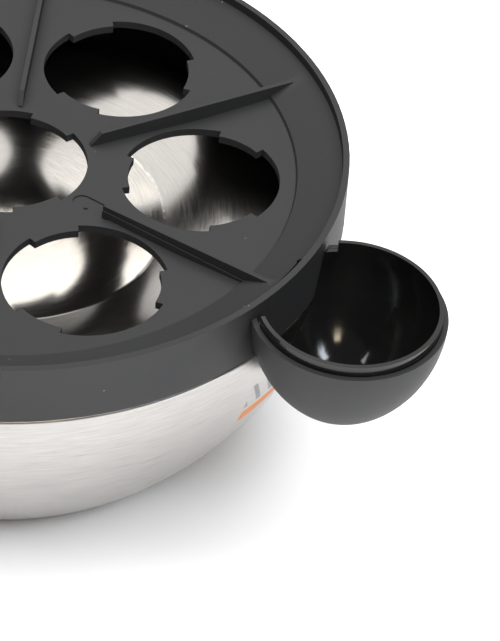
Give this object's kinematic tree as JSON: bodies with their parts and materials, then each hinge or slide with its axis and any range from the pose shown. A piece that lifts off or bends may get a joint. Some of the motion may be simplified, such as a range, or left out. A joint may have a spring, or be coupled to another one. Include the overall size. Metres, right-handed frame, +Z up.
{
  "type": "egg cooker",
  "caption": "Round countertop egg cooker: brushed steel body with a heated dish, lift-off black egg tray with a half-egg handle, and a rocker switch.",
  "frame": {"origin": "on the table, on the axis of the round body", "axes": "+Z up; the half-egg handle is at the front, on -Y; the switch is on +X and the mains inlet at the back, on +Y"},
  "size_m": [0.1838, 0.2212, 0.082],
  "materials": {
    "tray_black": "fine textured matt",
    "gloss_black": "polished",
    "body_steel": "fine circular brushing",
    "dish_steel": "polished pressed sheet",
    "base_black": "moulded",
    "foot_rubber": "matt",
    "pod_black": "satin moulded",
    "rocker_black": "satin",
    "lamp_red": "clear red",
    "neon_glass": "clear",
    "aluminium": "as cast",
    "element_sheath": "heat-darkened",
    "zinc_steel": "zinc plated",
    "spring_steel": "rolled strip",
    "ceramic": "unglazed ceramic",
    "phenolic": "phenolic",
    "brass_contact": "plated",
    "bush_black": "moulded"
  },
  "bodies": {
    "cooker": {"base_plate": "base_black", "base_screws": "zinc_steel", "body_shell": "body_steel", "bracket_screws": "zinc_steel", "dish_studs": "zinc_steel", "element_terminals": "zinc_steel", "foot_1": "foot_rubber", "foot_2": "foot_rubber", "foot_3": "foot_rubber", "foot_4": "foot_rubber", "fuse_clip": "spring_steel", "heat_shield": "aluminium", "heat_spreader": "aluminium", "heating_dish": "dish_steel", "heating_element": "element_sheath", "inlet_bush": "bush_black", "lamp_lens": "lamp_red", "neon_lamp": "neon_glass", "pillars": "zinc_steel", "switch_contacts": "brass_contact", "switch_housing": "pod_black", "terminal_beads": "ceramic", "terminal_block": "ceramic", "terminal_screws": "brass_contact", "thermal_fuse": "aluminium", "thermostat": "phenolic", "thermostat_bracket": "spring_steel"},
    "tray": {"egg_tray": "tray_black", "handle_shell": "tray_black", "handle_liner": "gloss_black"},
    "rocker": {"switch_rocker": "rocker_black"}
  },
  "joints": [
    {"name": "tray_lift", "type": "slide", "parent": "cooker", "child": "tray", "axis": [0, 0, 1], "range_m": [0, 0.1]},
    {"name": "rocker_tilt", "type": "hinge", "parent": "cooker", "child": "rocker", "pos_m": [0.0843, 0, 0.0396], "axis": [0, 1, 0], "range_deg": [0, 16]}
  ]
}
